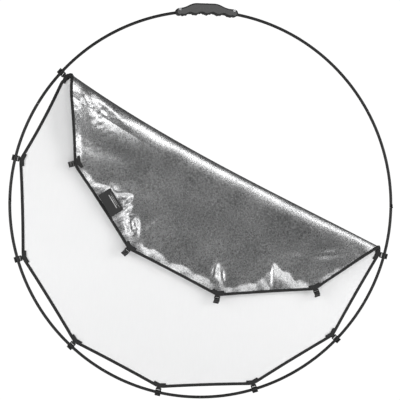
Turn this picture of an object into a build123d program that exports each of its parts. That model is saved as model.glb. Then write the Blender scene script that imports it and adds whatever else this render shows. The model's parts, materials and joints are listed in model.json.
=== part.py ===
"""Knock-down reflector disc: a tubular ring with a moulded grip and a clip-on fabric disc.

Millimetres, +Z up, the disc in the XZ plane with its front towards -Y.
The origin is the middle of the hand grip, on the centreline of the ring tube.
Angles are measured round the ring, anticlockwise from +X as seen from the front.
"""
import math
import os

from build123d import *

os.makedirs("parts", exist_ok=True)

# ring
RING_R = 406.8
TUBE_R = 3.2
TUBE_BORE_R = 2.2
SECTION_DEG = 30.0
JOINT_GAP_DEG = 0.03
FERRULE_R = 2.15
FERRULE_BORE_R = 1.3
FERRULE_LENGTH = 40.0
CORD_R = 1.0
CORD_STOP_R = 2.0
CORD_STOP_LENGTH = 6.0

# fold joints, left and right
SLEEVE_LENGTH = 11.0
SPIGOT_LENGTH = 12.0
FOLD_Y = -5.0
FOLD_GAP = 0.2
KNUCKLE_R = 1.5
PIN_R = 0.6
PIN_CLEARANCE = 0.05
INNER_KNUCKLE_HALF = 1.0
OUTER_KNUCKLE_FROM = 1.3
OUTER_KNUCKLE_TO = 2.8
WEB_HEIGHT = 6.0
PIN_HEAD_R = 1.0
PIN_HEAD_LENGTH = 0.4

# grip
GRIP_HALF_DEG = 9.36
GRIP_HALF_THICK = 10.5
GRIP_CROWN = 15.8
CROWN_STATIONS = 16
GRIP_CROWN_HALF = 19.0
GRIP_CROWN_FOOT = 50.0
GRIP_CROWN_SHIFT = -3.5
GRIP_END_RISE = 8.8
GRIP_DEPTH = 6.4
LOBE_DEPTH = 1.7
LOBE_PITCH = 24.1
GRIP_ROUND = 3.0
RIM = 3.0
INSERT_DEPTH = 2.0
INSERT_PROUD = 0.5
RIVET_AT = 58.0
RIVET_R = 1.7
RIVET_HEAD_R = 2.6
RIVET_HEAD = 0.5

# fabric
FABRIC_R = 395.3
FABRIC_Y = 2.0
FABRIC_THICK = 1.0
BINDING_WIDTH = 6.5
BINDING_THICK = 2.0
PANEL_ANGLES = (138.5, 167.3, 197.3, 227.6, 257.3, 286.7, 316.0, 345.2)
FLAP_ANGLES = (105.2, 74.5, 43.4, 12.6)
FOLD_NORMAL_DEG = 61.1
FOLD_AXIS_S = 113.0
ROLL_R = 7.0
LABEL_LENGTH = 53.0
LABEL_WIDTH = 30.0
LABEL_THICK = 0.6
LABEL_ALONG = 0.515

# corner tabs and clips
PATCH_OUTER_HALF = 10.0
PATCH_INNER_HALF = 14.0
PATCH_DEPTH = 10.0
PATCH_THICK = 0.8
STRAP_HALF = 3.8
STRAP_END_R = 397.1
CLIP_LENGTH = 12.0
CLIP_BORE_R = 3.4
CLIP_OUTER_R = 5.0
CLIP_LIP_Y = 1.8
CLIP_FLARE_R = 7.7
CLIP_FLARE_THICK = 1.5
CLIP_BAR_R = 1.2
CLIP_BAR_RADIUS = 398.8
CLIP_ARM_WIDTH = 1.8

CENTRE_Z = -RING_R
RING_AXIS = Axis((0, 0, CENTRE_Z), (0, -1, 0))
FOLD_START_S = FOLD_AXIS_S - math.pi * ROLL_R / 2
FOLD_AXIS_Y = FABRIC_Y - ROLL_R


def unit(angle):
    """Direction from the ring's centre at an angle."""
    return Vector(math.cos(math.radians(angle)), 0, math.sin(math.radians(angle)))


def ring_point(angle, radius, y=0.0):
    """A point at an angle and radius round the ring's centre."""
    return Vector(0, y, CENTRE_Z) + unit(angle) * radius


def tube_plane(angle):
    """Section plane of the ring tube: x outwards, y towards the front, normal along the tube."""
    return Plane(origin=ring_point(angle, RING_R), x_dir=unit(angle), z_dir=unit(angle - 90))


FOLD_NORMAL = unit(FOLD_NORMAL_DEG)
FOLD_ALONG = unit(FOLD_NORMAL_DEG + 90)
FOLD_POINT = Vector(0, FOLD_AXIS_Y, CENTRE_Z) + FOLD_NORMAL * FOLD_AXIS_S


def turned(direction):
    """A direction turned half way round the fold's axis."""
    return FOLD_ALONG * (2 * FOLD_ALONG.dot(direction)) - direction


def folded(plane):
    """A plane of the open disc, moved with the flap as it folds over the front."""
    origin = FOLD_POINT + turned(plane.origin - FOLD_POINT)
    return Plane(origin=origin, x_dir=turned(plane.x_dir), z_dir=turned(plane.z_dir))


def save(part, name):
    """Label a finished piece and write it."""
    part.label = name
    export_step(part, f"parts/{name}.step")


def arc_tube(start, sweep_deg, outer_r, inner_r=0.0):
    """A tube along the ring's centreline, solid when it has no inner radius."""
    with BuildPart() as tube:
        with BuildSketch(tube_plane(start)):
            Circle(outer_r)
            if inner_r > 0:
                Circle(inner_r, mode=Mode.SUBTRACT)
        revolve(axis=RING_AXIS, revolution_arc=sweep_deg)
    return tube.part


# ---- ring tube sections ----
sleeve_deg = math.degrees(SLEEVE_LENGTH / RING_R)
for index in range(12):
    begin = index * SECTION_DEG + JOINT_GAP_DEG
    end = (index + 1) * SECTION_DEG - JOINT_GAP_DEG
    if index in (0, 6):
        begin = index * SECTION_DEG + sleeve_deg
    if index in (5, 11):
        end = (index + 1) * SECTION_DEG - sleeve_deg
    half = "upper" if index < 6 else "lower"
    name = f"{half}_tube_{index % 6 + 1}"
    save(arc_tube(begin, end - begin, TUBE_R, TUBE_BORE_R), name)

# ---- ferrules inside the tubes, the shock cords and their stops ----
ferrule_deg = math.degrees(FERRULE_LENGTH / RING_R)
for half, first in (("upper", 0.0), ("lower", 180.0)):
    for number in range(1, 6):
        start = first + number * SECTION_DEG - ferrule_deg / 2
        save(arc_tube(start, ferrule_deg, FERRULE_R, FERRULE_BORE_R), f"{half}_ferrule_{number}")

stop_deg = math.degrees(CORD_STOP_LENGTH / RING_R)
cord_inset_deg = math.degrees((SLEEVE_LENGTH + SPIGOT_LENGTH + 3.0) / RING_R)
for half, first in (("upper", 0.0), ("lower", 180.0)):
    cord_start = first + cord_inset_deg
    cord_end = first + 180.0 - cord_inset_deg
    stop_starts = (cord_start, cord_end - stop_deg)
    cord_sweep = cord_end - cord_start - 2 * stop_deg
    save(arc_tube(cord_start + stop_deg, cord_sweep, CORD_R), f"{half}_shock_cord")
    stops = [arc_tube(start, stop_deg, CORD_STOP_R) for start in stop_starts]
    save(Compound(children=stops), f"{half}_cord_stops")


# ---- fold joints: half sleeves with knuckles, and their pins ----
def fold_sleeve(side, upper):
    """Half sleeve of a fold joint; its knuckles ring the pin in front of the tube."""
    joint_angle = 0.0 if side > 0 else 180.0
    turn = side if upper else -side
    gap_deg = math.degrees(FOLD_GAP / RING_R)
    up = 1 if upper else -1
    x_mid = side * RING_R
    bore = PIN_R if upper else PIN_R + PIN_CLEARANCE
    if upper:
        spans = [(OUTER_KNUCKLE_FROM, OUTER_KNUCKLE_TO), (-OUTER_KNUCKLE_TO, -OUTER_KNUCKLE_FROM)]
    else:
        spans = [(-INNER_KNUCKLE_HALF, INNER_KNUCKLE_HALF)]
    body_start = joint_angle + turn * gap_deg
    body_sweep = sleeve_deg - gap_deg
    spigot_sweep = math.degrees(SPIGOT_LENGTH / RING_R)
    web_depth = -1.0 - FOLD_Y
    with BuildPart() as sleeve:
        with BuildSketch(tube_plane(body_start)):
            Circle(TUBE_R)
        revolve(axis=RING_AXIS, revolution_arc=turn * body_sweep)
        with BuildSketch(tube_plane(body_start + turn * body_sweep)):
            Circle(FERRULE_R)
        revolve(axis=RING_AXIS, revolution_arc=turn * spigot_sweep)
        for low, high in spans:
            knuckle_plane = Plane(origin=(x_mid + low, FOLD_Y, CENTRE_Z), x_dir=(0, 1, 0), z_dir=(1, 0, 0))
            with BuildSketch(knuckle_plane):
                Circle(KNUCKLE_R)
            extrude(amount=high - low)
            web_z = CENTRE_Z + up * (FOLD_GAP + WEB_HEIGHT / 2)
            with Locations((x_mid + (low + high) / 2, FOLD_Y + web_depth / 2, web_z)):
                Box(high - low, web_depth, WEB_HEIGHT)
        bore_plane = Plane(origin=(x_mid - 4, FOLD_Y, CENTRE_Z), x_dir=(0, 1, 0), z_dir=(1, 0, 0))
        with BuildSketch(bore_plane):
            Circle(bore)
        extrude(amount=8, mode=Mode.SUBTRACT)
    return sleeve.part


for side, side_name in ((1, "right"), (-1, "left")):
    save(fold_sleeve(side, True), f"{side_name}_fold_upper")
    save(fold_sleeve(side, False), f"{side_name}_fold_lower")
    pin_from = side * RING_R - OUTER_KNUCKLE_TO
    with BuildPart() as pin:
        with BuildSketch(Plane(origin=(pin_from, FOLD_Y, CENTRE_Z), x_dir=(0, 1, 0), z_dir=(1, 0, 0))):
            Circle(PIN_R)
        extrude(amount=2 * OUTER_KNUCKLE_TO)
        for head_at in (pin_from - PIN_HEAD_LENGTH, pin_from + 2 * OUTER_KNUCKLE_TO):
            with BuildSketch(Plane(origin=(head_at, FOLD_Y, CENTRE_Z), x_dir=(0, 1, 0), z_dir=(1, 0, 0))):
                Circle(PIN_HEAD_R)
            extrude(amount=PIN_HEAD_LENGTH)
    save(pin.part, f"{side_name}_fold_pin")


# ---- grip ----
def tube_height(x):
    """Height of the tube's centreline above the origin at x."""
    return math.sqrt(RING_R**2 - x**2) - RING_R


def crown_height(x, half):
    """Top of the grip: a flat crown that slopes down to low shoulders above the tube."""
    away = abs(x - GRIP_CROWN_SHIFT) - GRIP_CROWN_HALF
    slope = min(max(away / (GRIP_CROWN_FOOT - GRIP_CROWN_HALF), 0.0), 1.0)
    share = (1 + math.cos(math.pi * slope)) / 2
    shoulder = GRIP_END_RISE + tube_height(min(abs(x), half))
    return shoulder + (GRIP_CROWN - shoulder) * share


def lobe_height(x):
    """Underside of the grip: lobes between the fingers, along the tube."""
    return tube_height(x) - GRIP_DEPTH - LOBE_DEPTH * math.cos(2 * math.pi * x / LOBE_PITCH)


grip_half = RING_R * math.sin(math.radians(GRIP_HALF_DEG))


def grip_outline(inset):
    """Sketch of the grip seen from the front, drawn in by an inset."""
    half = grip_half - inset
    round_x = half - 5.0
    stations = [-round_x + 2 * round_x * i / CROWN_STATIONS for i in range(CROWN_STATIONS + 1)]
    tops = [(x, crown_height(x, grip_half) - inset) for x in stations]
    lobe_step = LOBE_PITCH / 4
    lows = [(i * lobe_step, lobe_height(i * lobe_step) + inset) for i in range(9, -10, -1)]
    end_z = tube_height(grip_half)
    with BuildLine() as line:
        top = Spline(*tops)
        under = Spline(*lows)
        ThreePointArc(top @ 1, (half, end_z + 1.0), under @ 0)
        ThreePointArc(under @ 1, (-half, end_z + 1.0), top @ 0)
    return line.line


FRONT = Plane(origin=(0, 0, 0), x_dir=(1, 0, 0), z_dir=(0, -1, 0))


def grip_slab(inset, near, far):
    """Slab of the grip's outline between two distances in front of the tube's plane."""
    with BuildPart() as slab:
        with BuildSketch(FRONT.offset(near)):
            with BuildLine():
                add(grip_outline(inset))
            make_face()
        extrude(amount=far - near)
    return slab.part


pocket_floor = GRIP_HALF_THICK - INSERT_DEPTH
with BuildPart() as hand_grip:
    add(grip_slab(0.0, -GRIP_HALF_THICK, GRIP_HALF_THICK))
    outer_edges = hand_grip.edges().filter_by(lambda e: abs(abs(e.center().Y) - GRIP_HALF_THICK) < 0.01)
    fillet(outer_edges, GRIP_ROUND - 0.4)
    add(grip_slab(RIM, pocket_floor, GRIP_HALF_THICK + 1), mode=Mode.SUBTRACT)
    add(grip_slab(RIM, -GRIP_HALF_THICK - 1, -pocket_floor), mode=Mode.SUBTRACT)
    add(arc_tube(90 - 12, 24, TUBE_R), mode=Mode.SUBTRACT)
    for x in (-RIVET_AT, RIVET_AT):
        with Locations(Location((x, 0, tube_height(x) + 6.0), (90, 0, 0))):
            Cylinder(RIVET_R, 4 * GRIP_HALF_THICK, mode=Mode.SUBTRACT)
save(hand_grip.part, "hand_grip")

insert_face = GRIP_HALF_THICK + INSERT_PROUD
for name, near, far in (
    ("grip_front_insert", pocket_floor, insert_face),
    ("grip_back_insert", -insert_face, -pocket_floor),
):
    with BuildPart() as insert:
        add(grip_slab(RIM, near, far))
        for x in (-RIVET_AT, RIVET_AT):
            with Locations(Location((x, 0, tube_height(x) + 6.0), (90, 0, 0))):
                Cylinder(RIVET_R, 4 * GRIP_HALF_THICK, mode=Mode.SUBTRACT)
    save(insert.part, name)

for x, name in ((-RIVET_AT, "grip_rivet_left"), (RIVET_AT, "grip_rivet_right")):
    rivet_z = tube_height(x) + 6.0
    with BuildPart() as rivet:
        with Locations(Location((x, 0, rivet_z), (90, 0, 0))):
            Cylinder(RIVET_R, 2 * insert_face)
        with Locations(Location((x, -insert_face - RIVET_HEAD / 2, rivet_z), (90, 0, 0))):
            Cylinder(RIVET_HEAD_R, RIVET_HEAD)
    save(rivet.part, name)


# ---- fabric ----
DISC_ANGLES = PANEL_ANGLES + FLAP_ANGLES[::-1]
PANEL_COUNT = len(PANEL_ANGLES)
FLAP_COUNT = len(FLAP_ANGLES)


def disc_corner(number):
    """Corner of the open twelve-sided disc, numbered from the first panel corner."""
    return ring_point(DISC_ANGLES[number % len(DISC_ANGLES)], FABRIC_R, 0)


def along_fold(point):
    """How far a point lies along the fold's normal from the ring's centre."""
    return (point - Vector(0, 0, CENTRE_Z)).dot(FOLD_NORMAL)


def cut_edge(a, b, level):
    """Point of the edge from a to b that lies at a level along the fold's normal."""
    share = (level - along_fold(a)) / (along_fold(b) - along_fold(a))
    return a + (b - a) * share


panel_points = [disc_corner(i) for i in range(PANEL_COUNT)]
panel_points.append(cut_edge(disc_corner(PANEL_COUNT - 1), disc_corner(PANEL_COUNT), FOLD_START_S))
panel_points.append(cut_edge(disc_corner(0), disc_corner(-1), FOLD_START_S))

flap_level = 2 * FOLD_AXIS_S - FOLD_START_S
flap_points = [cut_edge(disc_corner(PANEL_COUNT - 1), disc_corner(PANEL_COUNT), flap_level)]
flap_points += [disc_corner(PANEL_COUNT + i) for i in range(FLAP_COUNT)]
flap_points.append(cut_edge(disc_corner(0), disc_corner(-1), flap_level))

DISC_FRONT = Plane(origin=(0, 0, CENTRE_Z), x_dir=(1, 0, 0), z_dir=(0, -1, 0))


def sheet(plane, points, inset, hole_inset, low_y, high_y):
    """Flat polygon sheet, or a band of it, between two depths of the open disc."""
    flat = [(p.X, p.Z - CENTRE_Z) for p in points]
    with BuildPart() as piece:
        with BuildSketch(plane.offset(-high_y)):
            Polygon(*flat, align=None)
            if inset:
                offset(amount=-inset, kind=Kind.INTERSECTION)
            if hole_inset:
                with BuildSketch(mode=Mode.PRIVATE) as hole:
                    Polygon(*flat, align=None)
                    offset(amount=-hole_inset, kind=Kind.INTERSECTION)
                add(hole.sketch, mode=Mode.SUBTRACT)
        extrude(amount=high_y - low_y)
    return piece.part


fabric_low = FABRIC_Y - FABRIC_THICK / 2
fabric_high = FABRIC_Y + FABRIC_THICK / 2
binding_low = FABRIC_Y - BINDING_THICK / 2
binding_high = FABRIC_Y + BINDING_THICK / 2
flap_plane = folded(DISC_FRONT)

save(sheet(DISC_FRONT, panel_points, BINDING_WIDTH, 0, fabric_low, fabric_high), "panel_fabric")
save(sheet(DISC_FRONT, panel_points, 0, BINDING_WIDTH, binding_low, binding_high), "panel_binding")
save(sheet(flap_plane, flap_points, BINDING_WIDTH, 0, fabric_low, fabric_high), "flap_fabric")
save(sheet(flap_plane, flap_points, 0, BINDING_WIDTH, binding_low, binding_high), "flap_binding")

# rolled strip between the panel and the folded flap
roll_start = panel_points[-1] - panel_points[-2]
roll_origin = panel_points[-2] + roll_start * 0.01
roll_plane = Plane(
    origin=(roll_origin.X, FOLD_AXIS_Y, roll_origin.Z), x_dir=FOLD_NORMAL, z_dir=FOLD_ALONG
)
with BuildPart() as roll:
    with BuildSketch(roll_plane):
        Circle(ROLL_R + FABRIC_THICK / 2)
        Circle(ROLL_R - FABRIC_THICK / 2, mode=Mode.SUBTRACT)
        with Locations((-ROLL_R, 0)):
            Rectangle(2 * ROLL_R, 4 * ROLL_R, mode=Mode.SUBTRACT)
    extrude(amount=roll_start.length * 0.98)
save(roll.part, "fold_strip")

# label on the silver side of the flap, along the edge between its third and fourth corners
label_a = disc_corner(-1)
label_b = disc_corner(-2)
label_edge = (label_b - label_a).normalized()
label_mid = label_a + (label_b - label_a) * LABEL_ALONG
label_in = (Vector(0, 0, CENTRE_Z) - label_mid).normalized()
label_origin = label_mid + label_in * (LABEL_WIDTH / 2 + 1.0) + Vector(0, binding_high, 0)
label_plane = folded(Plane(origin=label_origin, x_dir=label_edge, z_dir=(0, 1, 0)))
with BuildPart() as label:
    with BuildSketch(label_plane):
        RectangleRounded(LABEL_LENGTH, LABEL_WIDTH, 0.8)
    extrude(amount=LABEL_THICK)
save(label.part, "woven_label")


# ---- corner tabs ----
def corner_tab(angle, on_flap):
    """Sewn patch behind the binding's corner, with the strap that holds a clip."""
    plane = Plane(origin=ring_point(angle, FABRIC_R, binding_high), x_dir=unit(angle), z_dir=(0, 1, 0))
    strap_low = FABRIC_Y - 0.8
    strap_plane = plane.offset(strap_low - binding_high)
    if on_flap:
        plane = folded(plane)
        strap_plane = folded(strap_plane)
    with BuildPart() as tab:
        with BuildSketch(plane):
            Polygon(
                (-PATCH_DEPTH, -PATCH_INNER_HALF),
                (-PATCH_DEPTH, PATCH_INNER_HALF),
                (-2.5, PATCH_OUTER_HALF),
                (0.1, STRAP_HALF),
                (0.1, -STRAP_HALF),
                (-2.5, -PATCH_OUTER_HALF),
                align=None,
            )
        extrude(amount=PATCH_THICK)
        strap_length = STRAP_END_R - FABRIC_R - 0.1
        with BuildSketch(strap_plane):
            with Locations((0.1 + strap_length / 2, 0)):
                Rectangle(strap_length, 2 * STRAP_HALF)
        extrude(amount=binding_high + PATCH_THICK - strap_low)
    return tab.part


save(Compound(children=[corner_tab(a, False) for a in PANEL_ANGLES]), "panel_tabs")
save(Compound(children=[corner_tab(a, True) for a in FLAP_ANGLES]), "flap_tabs")


# ---- clips ----
def clip(plane):
    """C-shaped clip: cradles the tube from behind, open to the front, with a bar for its strap."""
    lip_angle = math.degrees(math.acos(CLIP_LIP_Y / (CLIP_BORE_R + 0.8)))
    bar_x = CLIP_BAR_RADIUS - RING_R
    start = plane.offset(-CLIP_LENGTH / 2)
    with BuildPart() as body:
        with BuildSketch(start):
            Circle(CLIP_OUTER_R)
            Circle(CLIP_BORE_R, mode=Mode.SUBTRACT)
            mouth = CLIP_OUTER_R * 3
            with BuildLine():
                Polyline(
                    (0, 0),
                    (mouth * math.sin(math.radians(lip_angle)), mouth * math.cos(math.radians(lip_angle))),
                    (-mouth * math.sin(math.radians(lip_angle)), mouth * math.cos(math.radians(lip_angle))),
                    close=True,
                )
            make_face(mode=Mode.SUBTRACT)
            flare_from = CLIP_BORE_R + 0.2
            with Locations(((flare_from + CLIP_FLARE_R) / 2, CLIP_LIP_Y - CLIP_FLARE_THICK / 2 - 0.3)):
                Rectangle(CLIP_FLARE_R - flare_from, CLIP_FLARE_THICK)
        extrude(amount=CLIP_LENGTH)
        for end in (-CLIP_LENGTH / 2, CLIP_LENGTH / 2 - CLIP_ARM_WIDTH):
            with BuildSketch(plane.offset(end)):
                arm_length = -bar_x - CLIP_OUTER_R + 0.8
                with Locations((bar_x + arm_length / 2, -FABRIC_Y)):
                    Rectangle(arm_length, 2 * CLIP_BAR_R)
            extrude(amount=CLIP_ARM_WIDTH)
        with BuildSketch(start):
            with Locations((bar_x, -FABRIC_Y)):
                Circle(CLIP_BAR_R)
        extrude(amount=CLIP_LENGTH)
    return body.part


for number, angle in enumerate(PANEL_ANGLES, start=1):
    save(clip(tube_plane(angle)), f"ring_clip_{number}")
for number, angle in enumerate(FLAP_ANGLES, start=1):
    save(clip(folded(tube_plane(angle))), f"flap_clip_{number}")
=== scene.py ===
"""Looks of the knock-down reflector disc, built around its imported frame.

The disc hangs in the XZ plane with its white front towards -Y. Cloth is laid out flat first, in
coordinates along the fold and across it, and then folded to where it lies at rest.
"""

import json
import logging
import math
from dataclasses import dataclass, field
from enum import Enum
from typing import Sequence

import bmesh
import bpy
from mathutils import Matrix, Vector, noise


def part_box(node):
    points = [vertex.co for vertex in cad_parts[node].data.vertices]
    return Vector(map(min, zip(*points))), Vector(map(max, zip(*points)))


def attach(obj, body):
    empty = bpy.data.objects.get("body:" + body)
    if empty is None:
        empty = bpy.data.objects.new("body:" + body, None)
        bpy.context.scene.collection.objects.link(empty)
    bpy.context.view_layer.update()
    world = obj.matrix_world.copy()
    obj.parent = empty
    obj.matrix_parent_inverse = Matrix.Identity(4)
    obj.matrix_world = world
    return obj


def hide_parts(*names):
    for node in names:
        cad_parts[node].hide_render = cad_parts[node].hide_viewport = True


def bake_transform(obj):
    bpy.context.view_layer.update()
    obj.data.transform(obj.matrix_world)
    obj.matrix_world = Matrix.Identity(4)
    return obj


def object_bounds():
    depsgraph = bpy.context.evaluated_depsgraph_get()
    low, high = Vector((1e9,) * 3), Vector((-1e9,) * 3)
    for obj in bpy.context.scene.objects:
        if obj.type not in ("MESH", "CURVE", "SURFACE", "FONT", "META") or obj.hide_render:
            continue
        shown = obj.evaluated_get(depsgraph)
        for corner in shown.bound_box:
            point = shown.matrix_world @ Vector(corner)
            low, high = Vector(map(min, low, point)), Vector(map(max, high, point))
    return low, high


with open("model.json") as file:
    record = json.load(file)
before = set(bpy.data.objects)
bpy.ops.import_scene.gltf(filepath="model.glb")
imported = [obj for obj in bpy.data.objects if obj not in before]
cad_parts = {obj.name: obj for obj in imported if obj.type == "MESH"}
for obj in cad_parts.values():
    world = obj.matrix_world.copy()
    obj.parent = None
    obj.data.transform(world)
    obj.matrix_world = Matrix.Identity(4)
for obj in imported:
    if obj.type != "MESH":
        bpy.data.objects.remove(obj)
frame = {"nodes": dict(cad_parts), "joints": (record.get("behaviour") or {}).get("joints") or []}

CAD_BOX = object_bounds()
log = logging.getLogger("reflector_disc")
MM = 0.001
FRONT = Vector((0.0, -1.0, 0.0))
SLUB_SCALE = 420.0
SLUB_STRETCH = 0.12
DRIFT_SHARE = 0.04


class Side(Enum):
    """The sheet that a corner tab or clip belongs to."""

    PANEL = "panel"
    FLAP = "flap"


# ------------------------------------------------------------------------------------------------
# Node groups
# ------------------------------------------------------------------------------------------------


def new_group(
    name: str, inputs: Sequence[tuple[str, str, float]], outputs: Sequence[str]
) -> bpy.types.NodeTree:
    """Make an empty shader node group.

    Args:
        name: The group's name.
        inputs: Name, socket type and default of each input; a vector has no default.
        outputs: Names of the value outputs.

    Returns:
        The node group, with its input and output nodes named "in" and "out".
    """
    group = bpy.data.node_groups.new(name, "ShaderNodeTree")
    for label, kind, default in inputs:
        socket = group.interface.new_socket(label, in_out="INPUT", socket_type=kind)
        if kind == "NodeSocketFloat":
            socket.default_value = default
    for label in outputs:
        group.interface.new_socket(label, in_out="OUTPUT", socket_type="NodeSocketFloat")
    group.nodes.new("NodeGroupInput").name = "in"
    group.nodes.new("NodeGroupOutput").name = "out"
    return group


def math_node(tree: bpy.types.NodeTree, operation: str, *values: object) -> bpy.types.NodeSocket:
    """Add a Math node.

    Args:
        tree: The node tree.
        operation: The Math node's operation.
        values: Sockets to link or numbers to set, in order.

    Returns:
        The node's output socket.
    """
    node = tree.nodes.new("ShaderNodeMath")
    node.operation = operation
    for index, value in enumerate(values):
        if isinstance(value, bpy.types.NodeSocket):
            tree.links.new(value, node.inputs[index])
        else:
            node.inputs[index].default_value = value
    return node.outputs[0]


def weave_group() -> bpy.types.NodeTree:
    """Plain weave: threads over and under each other, in the XZ plane, with uneven threads."""
    group = new_group(
        "plain_weave",
        (("Vector", "NodeSocketVector", 0.0), ("Pitch", "NodeSocketFloat", 0.001)),
        ("Height", "Slub"),
    )
    enter, leave = group.nodes["in"], group.nodes["out"]
    parts = group.nodes.new("ShaderNodeSeparateXYZ")
    group.links.new(enter.outputs["Vector"], parts.inputs[0])
    turns = math_node(group, "DIVIDE", math.pi, enter.outputs["Pitch"])
    across = math_node(group, "SINE", math_node(group, "MULTIPLY", parts.outputs["X"], turns))
    up = math_node(group, "SINE", math_node(group, "MULTIPLY", parts.outputs["Z"], turns))
    crossing = math_node(group, "MULTIPLY", across, up)
    group.links.new(math_node(group, "ABSOLUTE", crossing), leave.inputs["Height"])
    stretch = group.nodes.new("ShaderNodeMapping")
    stretch.inputs["Scale"].default_value = (1.0, 1.0, SLUB_STRETCH)
    group.links.new(enter.outputs["Vector"], stretch.inputs["Vector"])
    slub = group.nodes.new("ShaderNodeTexNoise")
    slub.inputs["Scale"].default_value = SLUB_SCALE
    slub.inputs["Detail"].default_value = 2.0
    group.links.new(stretch.outputs[0], slub.inputs["Vector"])
    group.links.new(slub.outputs[0], leave.inputs["Slub"])
    return group


def grain_group() -> bpy.types.NodeTree:
    """Fine moulding grain with a slower drift of tone over it."""
    group = new_group(
        "fine_grain",
        (("Vector", "NodeSocketVector", 0.0), ("Scale", "NodeSocketFloat", 900.0)),
        ("Grain", "Drift"),
    )
    enter, leave = group.nodes["in"], group.nodes["out"]
    for output, detail, share in (("Grain", 3.0, 1.0), ("Drift", 2.0, DRIFT_SHARE)):
        texture = group.nodes.new("ShaderNodeTexNoise")
        texture.inputs["Detail"].default_value = detail
        group.links.new(enter.outputs["Vector"], texture.inputs["Vector"])
        group.links.new(math_node(group, "MULTIPLY", enter.outputs["Scale"], share), texture.inputs["Scale"])
        group.links.new(texture.outputs[0], leave.inputs[output])
    return group


WEAVE = weave_group()
GRAIN = grain_group()


# ------------------------------------------------------------------------------------------------
# Finishes
# ------------------------------------------------------------------------------------------------


@dataclass(frozen=True)
class Finish:
    """A surface finish; it becomes one material.

    The colour runs from dark to light over the pattern, and so does the roughness.
    """

    name: str
    dark: tuple[float, float, float]
    light: tuple[float, float, float]
    roughness: tuple[float, float]
    metallic: float = 0.0
    bump: float = 0.2
    bump_distance: float = 0.0002
    glow: float = 0.0
    ramp_ends: tuple[float, float] = (0.3, 0.7)

    def pattern(self, tree: bpy.types.NodeTree, vector: bpy.types.NodeSocket) -> tuple:
        """Sockets that drive the colour, the roughness and the height; each kind of finish has its own."""
        raise NotImplementedError

    def material(self) -> bpy.types.Material:
        """The material, made once."""
        found = bpy.data.materials.get(self.name)
        if found:
            return found
        made = bpy.data.materials.new(self.name)
        made.use_nodes = True
        tree = made.node_tree
        shader = tree.nodes["Principled BSDF"]
        place = tree.nodes.new("ShaderNodeTexCoord")
        tone, rough, height = self.pattern(tree, place.outputs["Object"])
        ramp = tree.nodes.new("ShaderNodeValToRGB")
        for stop, colour, position in zip(ramp.color_ramp.elements, (self.dark, self.light), self.ramp_ends):
            stop.color = (*colour, 1.0)
            stop.position = position
        tree.links.new(tone, ramp.inputs[0])
        tree.links.new(ramp.outputs[0], shader.inputs["Base Color"])
        spread = tree.nodes.new("ShaderNodeMapRange")
        spread.inputs["To Min"].default_value = self.roughness[0]
        spread.inputs["To Max"].default_value = self.roughness[1]
        tree.links.new(rough, spread.inputs["Value"])
        tree.links.new(spread.outputs[0], shader.inputs["Roughness"])
        shader.inputs["Metallic"].default_value = self.metallic
        shader.inputs["Emission Color"].default_value = (1.0, 1.0, 1.0, 1.0)
        shader.inputs["Emission Strength"].default_value = self.glow
        bump = tree.nodes.new("ShaderNodeBump")
        bump.inputs["Strength"].default_value = self.bump
        bump.inputs["Distance"].default_value = self.bump_distance
        tree.links.new(height, bump.inputs["Height"])
        tree.links.new(bump.outputs[0], shader.inputs["Normal"])
        return made


@dataclass(frozen=True)
class Woven(Finish):
    """Woven stuff: cloth, tape, webbing or a label."""

    pitch: float = 0.0006

    def pattern(self, tree: bpy.types.NodeTree, vector: bpy.types.NodeSocket) -> tuple:
        """Weave for the height, slubs for the colour and the roughness."""
        weave = tree.nodes.new("ShaderNodeGroup")
        weave.node_tree = WEAVE
        weave.inputs["Pitch"].default_value = self.pitch
        tree.links.new(vector, weave.inputs["Vector"])
        slub = weave.outputs["Slub"]
        height = math_node(tree, "ADD", weave.outputs["Height"], slub)
        return slub, weave.outputs["Height"], height


@dataclass(frozen=True)
class Foil(Finish):
    """Silver foil laminated on woven cloth: the threads show through as a sparkle."""

    pitch: float = 0.0011
    # The large soft mottling in the colour is painted reflection: it stands in for uneven surroundings
    # mirrored in the silver.
    reflection_mottle_scale: float = 14.0
    reflection_mottle_share: float = 0.4
    sparkle_scale: float = 330.0
    thread_share: float = 0.35

    def pattern(self, tree: bpy.types.NodeTree, vector: bpy.types.NodeSocket) -> tuple:
        """Weave and sparkle for the height, sparkle for the roughness, and sparkle with soft mottling of
        painted reflection over it for the colour.
        """
        weave = tree.nodes.new("ShaderNodeGroup")
        weave.node_tree = WEAVE
        weave.inputs["Pitch"].default_value = self.pitch
        tree.links.new(vector, weave.inputs["Vector"])
        # Painted reflection: a large soft noise varies the silver's colour as uneven surroundings would in
        # its reflection.
        reflection_mottle = tree.nodes.new("ShaderNodeTexNoise")
        reflection_mottle.inputs["Scale"].default_value = self.reflection_mottle_scale
        reflection_mottle.inputs["Detail"].default_value = 5.0
        tree.links.new(vector, reflection_mottle.inputs["Vector"])
        sparkle = tree.nodes.new("ShaderNodeTexNoise")
        sparkle.inputs["Scale"].default_value = self.sparkle_scale
        sparkle.inputs["Detail"].default_value = 4.0
        sparkle.inputs["Roughness"].default_value = 0.7
        tree.links.new(vector, sparkle.inputs["Vector"])
        thread = math_node(tree, "MULTIPLY", weave.outputs["Height"], self.thread_share)
        height = math_node(tree, "ADD", sparkle.outputs[0], thread)
        centred = math_node(tree, "SUBTRACT", reflection_mottle.outputs[0], 0.5)
        drift = math_node(tree, "MULTIPLY", centred, self.reflection_mottle_share)
        tone = math_node(tree, "ADD", sparkle.outputs[0], drift)
        return tone, sparkle.outputs[0], height


@dataclass(frozen=True)
class Moulded(Finish):
    """Moulded plastic, rubber or coated metal with a fine grain."""

    scale: float = 900.0

    def pattern(self, tree: bpy.types.NodeTree, vector: bpy.types.NodeSocket) -> tuple:
        """Grain for the height and roughness, drift for the colour."""
        grain = tree.nodes.new("ShaderNodeGroup")
        grain.node_tree = GRAIN
        grain.inputs["Scale"].default_value = self.scale
        tree.links.new(vector, grain.inputs["Vector"])
        return grain.outputs["Drift"], grain.outputs["Grain"], grain.outputs["Grain"]


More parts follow.
